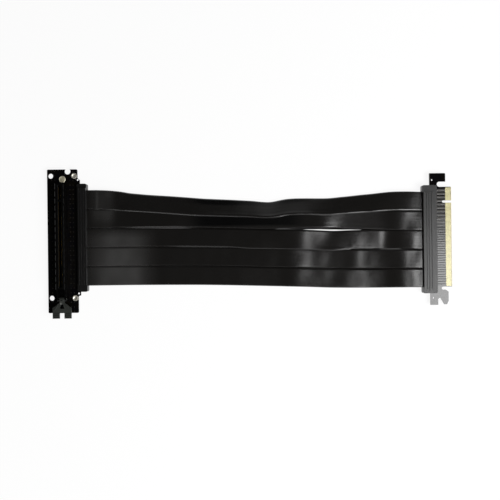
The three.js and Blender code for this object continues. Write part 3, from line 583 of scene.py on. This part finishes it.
rivet_above_slot = 4.5
rivet_metal, g = new_material("tinned_brass")
x, y, _, where = g.place()
across = x - slot_x
along = y - (slot_top_y + rivet_above_slot)
from_axis = g.node("ShaderNodeMath", {"operation": "SQRT"}, {0: across * across + along * along})
turning = g.node("ShaderNodeMath", {"operation": "SINE"}, {0: from_axis * 34.0})
stain = g.noise(where, 0.9, 5, 0.6)
rim = from_axis.between(2.25, 2.75, 0.08)
body = g.mixed(stain.rise(0.3, 0.7), (0.46, 0.43, 0.31, 1), (0.6, 0.56, 0.44, 1))
g.surface(
    Base_Color=g.mixed(rim * 0.7, body, (0.86, 0.82, 0.66, 1)),
    Metallic=0.92,
    Roughness=0.52 + stain * 0.2 - rim * 0.16,
    Normal=g.bump(turning * 0.35 + stain, 0.04 * MM, 0.5),
)
finish_node("board_rivet", rivet_metal, 0.05 * MM)


# The card slot is one moulding of black glass-filled nylon, soldered to the board. A gold-plated
# spring contact stands in each of its pockets, and its tail comes out below in a cone of solder.

contact_pitch = 1.0
first_contact = 1.5
short_side = 11
long_side = 71
strip_half = 0.22
strip_thick = 0.06
spring_line = [(2.22, 8.5), (1.33, 12.75), (1.0, 13.6), (0.98, 14.1), (1.16, 14.7)]
tail_rows = (1.6, 3.0)
tail_profile = [(0.5, 3.38), (0.42, 3.1), (0.24, 2.85), (0.19, 2.55)]


def slot_rows(name, piece, material):
    """Copies of piece on both sides of the card channel, one for each contact, as one mesh."""
    tree = bpy.data.node_groups.new(name, "GeometryNodeTree")
    kinds = {
        "Geometry": "Geometry",
        "Pitch": "Float",
        "First": "Float",
        "Short Side": "Int",
        "Long Side": "Int",
        "Key": "Vector",
    }
    ids = {}
    for label, kind in kinds.items():
        made = tree.interface.new_socket(label, in_out="INPUT", socket_type=f"NodeSocket{kind}")
        ids[label] = made.identifier
    tree.interface.new_socket("Geometry", in_out="OUTPUT", socket_type="NodeSocketGeometry")
    g = Graph(tree)
    given = {label: g.node("NodeGroupInput", out=label) for label in kinds}
    sides = []
    for sign, count in ((1, "Short Side"), (-1, "Long Side")):
        start = g.node("ShaderNodeCombineXYZ", None, {1: given["First"] * sign})
        step = g.node("ShaderNodeCombineXYZ", None, {1: given["Pitch"] * sign})
        values = {"Count": given[count], "Start Location": start, "Offset": step}
        line = g.node("GeometryNodeMeshLine", {"mode": "OFFSET"}, values)
        values = {"Points": line, "Instance": given["Geometry"]}
        right = g.node("GeometryNodeInstanceOnPoints", None, values)
        values = {"Instances": right, "Rotation": (0, 0, math.pi)}
        sides += [right, g.node("GeometryNodeRotateInstances", None, values)]
    values = {"Geometry": g.node("GeometryNodeJoinGeometry", None, {0: sides})}
    values["Translation"] = given["Key"]
    placed = g.node("GeometryNodeTransform", None, values)
    real = g.node("GeometryNodeRealizeInstances", None, {0: placed})
    dressed = g.node("GeometryNodeSetMaterial", None, {"Geometry": real, "Material": material})
    g.node("NodeGroupOutput", None, {"Geometry": dressed})

    rows = piece.modifiers.new("rows", "NODES")
    rows.node_group = tree
    rows[ids["Pitch"]] = contact_pitch * MM
    rows[ids["First"]] = first_contact * MM
    rows[ids["Short Side"]] = short_side
    rows[ids["Long Side"]] = long_side
    rows[ids["Key"]] = (slot_x * MM, slot_key_y * MM, 0)
    evaluated = piece.evaluated_get(bpy.context.evaluated_depsgraph_get())
    whole = bpy.data.meshes.new_from_object(evaluated)
    piece.modifiers.clear()
    piece.data = whole
    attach(piece, "cable")


def spring_strip():
    """One spring contact: a strip bent along spring_line."""
    vertices = []
    for i, (x, z) in enumerate(spring_line):
        ahead = spring_line[min(i + 1, len(spring_line) - 1)]
        behind = spring_line[max(i - 1, 0)]
        run = Vector((ahead[0] - behind[0], ahead[1] - behind[1])).normalized()
        for side, lift in ((-1, 0), (1, 0), (1, 1), (-1, 1)):
            off = run * lift * strip_thick
            vertices.append(Vector((x + off.y, side * strip_half, z - off.x)) * MM)
    faces = [(3, 2, 1, 0)]
    for k in range(0, len(vertices) - 4, 4):
        for j in range(4):
            n = (j + 1) % 4
            faces.append((k + j, k + n, k + 4 + n, k + 4 + j))
    last = len(vertices) - 4
    faces.append((last, last + 1, last + 2, last + 3))
    return mesh_object("slot_contacts", vertices, faces, smooth=False)


def solder_tails():
    """The tails of one contact's pocket under the board, each in its cone of solder."""
    vertices = []
    faces = []
    sides = 8
    for row in tail_rows:
        start = len(vertices)
        for radius, height in tail_profile:
            for k in range(sides):
                turn = 2 * math.pi * k / sides
                place = (row + radius * math.cos(turn), radius * math.sin(turn) * 0.8, height)
                vertices.append(Vector(place) * MM)
        for k in range(start, len(vertices) - sides, sides):
            for j in range(sides):
                n = (j + 1) % sides
                faces.append((k + j, k + sides + j, k + sides + n, k + n))
        faces.append(tuple(range(start, start + sides)))
        faces.append(tuple(reversed(range(len(vertices) - sides, len(vertices)))))
    return mesh_object("slot_tails", vertices, faces)


nylon, g = new_material("slot_nylon")
where = g.place()[3]
grain = g.noise(where, 3.0, 4, 0.6)
flow = g.noise(g.stretched(where, (0.5, 0.03, 0.5)), 1.0, 3)
g.surface(
    Base_Color=g.mixed(flow, grey(0.0004), grey(0.0016, 0.05)),
    Roughness=0.18 + grain * 0.12,
    Specular_IOR_Level=0.25,
    Normal=g.bump(grain, 0.03 * MM, 0.5),
)
finish_node("slot_housing", nylon)

gold, g = new_material("contact_gold")
where = g.place()[3]
worn = g.noise(where, 0.8, 3)
g.surface(
    Base_Color=g.mixed(worn, (0.83, 0.58, 0.22, 1), (0.9, 0.7, 0.36, 1)),
    Metallic=1.0,
    Roughness=0.28 + worn * 0.14,
)
slot_rows("contact_rows", spring_strip(), gold)

solder, g = new_material("solder")
where = g.place()[3]
frost = g.noise(where, 2.2, 4, 0.6)
g.surface(
    Base_Color=g.mixed(frost, grey(0.5, -0.01), grey(0.72)),
    Metallic=1.0,
    Roughness=0.28 + frost * 0.22,
    Normal=g.bump(frost, 0.04 * MM, 0.6),
)
slot_rows("tail_rows", solder_tails(), solder)


# The latch is a separate moulding of dark grey nylon that turns in the slot's lugs. It holds the
# card by its hook, and is opened by its two ribbed finger tabs.

latch_nylon, g = new_material("latch_nylon")
_, _, z, where = g.place()
grain = g.noise(where, 2.4, 5, 0.6)
# Painted highlight: the latch's colour is lightened towards its top
wear_and_sheen = z.rise(13.0, 14.6)
g.surface(
    Base_Color=g.mixed(wear_and_sheen, (0.018, 0.02, 0.017, 1), (0.05, 0.052, 0.046, 1)),
    Roughness=0.36 + grain * 0.2,
    Normal=g.bump(grain, 0.04 * MM, 0.5),
)
finish_node("slot_latch", latch_nylon, 0.12 * MM)


# The covers over the solder joints are two shells each, moulded from black polycarbonate and
# snapped together. Polished ribs run lengthwise along their tops.

cover_edge = 0.14 * MM
cover_roughness = 0.2


def cover_plastic(name, shade):
    material, g = new_material(name)
    where = g.place()[3]
    grain = g.noise(where, 2.8, 4, 0.65)
    drawn = g.noise(g.stretched(where, (1.4, 0.02, 1.4)), 1.0, 4, 0.6)
    handled = g.noise(where, 0.12, 3)
    g.surface(
        Base_Color=g.mixed(handled, grey(shade), grey(shade * 1.7, 0.04)),
        Roughness=cover_roughness + grain * 0.06 + drawn * 0.2,
        Specular_IOR_Level=0.4,
        Normal=g.bump(drawn * 1.6 + grain * 0.4, 0.05 * MM, 0.7),
    )
    return material


socket_plastic = cover_plastic("socket_cover_plastic", 0.004)
finish_node("socket_cover_upper", socket_plastic, cover_edge)
finish_node("socket_cover_lower", socket_plastic, cover_edge)
plug_plastic = cover_plastic("plug_cover_plastic", 0.006)
finish_node("plug_cover_upper", plug_plastic, cover_edge)
finish_node("plug_cover_lower", plug_plastic, cover_edge)


# Inside the covers each ribbon ends in bare copper pairs, tinned and soldered down under a flat
# ground bar. They show only where a cover is off.

tinned, g = new_material("tinned_copper")
where = g.place()[3]
dip = g.noise(where, 1.2, 4, 0.6)
bare = g.noise(where, 0.5, 2).rise(0.56, 0.64)
g.surface(
    Base_Color=g.mixed(bare * 0.7, grey(0.66, 0.02), (0.7, 0.42, 0.28, 1)),
    Metallic=1.0,
    Roughness=0.3 + dip * 0.2,
    Normal=g.bump(dip, 0.05 * MM, 0.6),
)
for i in range(5):
    finish_node(f"socket_wires_{i + 1}", tinned)
    finish_node(f"plug_wires_{i + 1}", tinned)


# The plug's board ends in the card edge: rows of gold-plated pads on both faces behind a bevel
# that is ground down to the bare laminate. Lacquered tracks fan out from the pads to the cover.

plug_tip_x = 172.35
plug_middle_z = 4.2
pad_face = 0.82
bevel_start = plug_tip_x - 0.52
card_edge_low = -40.35
card_edge_high = 44.85
pads_start = 167.15
fan_start = 159.6
fan_pitch = 2.0
pair_pitch = 3.0
fan_pairs_from = 9.0

plug_finish, g = new_material("card_edge")
x, y, z, where = g.place()
edge = abs(g.facing_up()) < 0.4
on_edge = y.between(card_edge_low, card_edge_high, 0.05)
gilt = (abs(z - plug_middle_z) > pad_face) * on_edge * (x > pads_start - 0.1)
ground = (x > bevel_start) * on_edge * (1 - gilt)
drift = g.noise(g.stretched(where, (0.1, 0.35, 0)), 1.0, 2)
single = abs(((y + drift * 1.5) % fan_pitch) - fan_pitch / 2).rise(0.3, 0.42)
paired = abs((y % pair_pitch) - pair_pitch / 2).rise(0.65, 0.85)
upper = y > fan_pairs_from
tracks = single * (1 - upper) + paired * upper
fan = x.between(fan_start, pads_start, 0.08) * y.between(card_edge_low + 1, card_edge_high - 1, 0.1)
colour, roughness, height = lacquer(g, where, tracks * fan)
# The tracks show by their gloss at the front; towards the back their colour is lightened as a
# painted sheen
colour = g.mixed(tracks * fan * y.rise(0, 20), colour, grey(0.075, 0.05))
matt = (0.16 + y.rise(-10, 12) * 0.4) * (1 - y.rise(5, 20) * 0.9)
roughness = roughness - 0.06 + (1 - tracks) * fan * matt - y.rise(8, 24) * 0.08
# The plating is worn to a random tone
wear_and_sheen = g.noise(where, 0.7, 5, 0.7)
wiped = g.noise(g.stretched(where, (0.15, 2.0, 1)), 1.0, 3)
plate_colour = g.mixed(wear_and_sheen, (0.46, 0.42, 0.22, 1), (0.54, 0.51, 0.34, 1))
weave = g.noise(g.stretched(where, (3.0, 1.2, 3.0)), 1.0, 2)
bare = g.mixed(weave, (0.4, 0.34, 0.2, 1), (0.62, 0.55, 0.36, 1))
colour = g.mixed(edge, colour, (0.014, 0.011, 0.006, 1))
colour = g.mixed(ground, colour, bare)
colour = g.mixed(gilt, colour, plate_colour)
g.surface(
    Base_Color=colour,
    Metallic=gilt,
    Roughness=roughness * (1 - gilt) + gilt * (0.48 + wiped * 0.12) + ground * 0.3,
    Normal=g.bump(height * (1 - gilt) + wiped * gilt * 0.3, 0.06 * MM, 0.7),
)
finish_node("plug_board", plug_finish)


# The table and the lamps: white paper, a large soft lamp above the right end, which the flat
# parts there mirror, and a long one in front.

floor_material, g = new_material("white_table")
seen = g.node("ShaderNodeLightPath", out="Is Camera Ray")
seen = seen + g.node("ShaderNodeLightPath", out="Is Glossy Ray")
seen = seen.maths("ADD", seen, g.node("ShaderNodeLightPath", out="Is Transmission Ray"), clamp=True)
glow = g.node("ShaderNodeEmission", None, {"Color": (1, 1, 1, 1), "Strength": 1.0})
fibre = g.noise(g.place()[3], 0.05, 3)
paper = g.node("ShaderNodeBsdfDiffuse", None, {"Color": g.mixed(fibre, grey(0.88), grey(0.92))})
both = g.node("ShaderNodeMixShader", None, {0: seen * 0.9, 1: paper, 2: glow})
g.node("ShaderNodeOutputMaterial", None, {"Surface": both})
table_half = 3.0
table_level = -0.2 * MM
table_corners = ((-1, -1), (1, -1), (1, 1), (-1, 1))
floor = mesh_object(
    "floor",
    [(x * table_half, y * table_half, table_level) for x, y in table_corners],
    [(0, 1, 2, 3)],
    floor_material,
    smooth=False,
)

key_place = (0.79, -0.425, 1.0)
key_target = (0.79, -0.424, 0)
front_place = (0, -1.1, 0.7)
front_target = (0, 0, 0)


def lamp(name, place, target, size, radiance):
    """A rectangular lamp at place that faces target, as bright as radiance says."""
    light = bpy.data.lights.new(name, "AREA")
    light.shape = "RECTANGLE"
    light.size, light.size_y = size
    light.energy = radiance * math.pi * size[0] * size[1]
    stand = bpy.data.objects.new(name, light)
    stand.location = place
    stand.rotation_euler = (Vector(target) - Vector(place)).to_track_quat("-Z", "Y").to_euler()
    bpy.context.collection.objects.link(stand)


lamp("key_lamp", key_place, key_target, size=(0.9, 0.9), radiance=10.5)
lamp("front_lamp", front_place, front_target, size=(1.6, 0.3), radiance=2.6)

# The room is white at the height of the table and dark above it
dark_from = 0.12
dark_to = 0.54
room_fall = 0.97
world = bpy.data.worlds.new("studio")
bpy.context.scene.world = world
world.use_nodes = True
g = Graph(world.node_tree)
direction = g.node("ShaderNodeTexCoord", out="Generated")
height = g.node("ShaderNodeSeparateXYZ", None, {0: direction}, out=2)
level = 1.0 - height.rise(dark_from, dark_to) * room_fall
room = g.node("ShaderNodeBackground", None, {"Color": (1, 1, 1, 1), "Strength": level})
g.node("ShaderNodeOutputWorld", None, {"Surface": room})
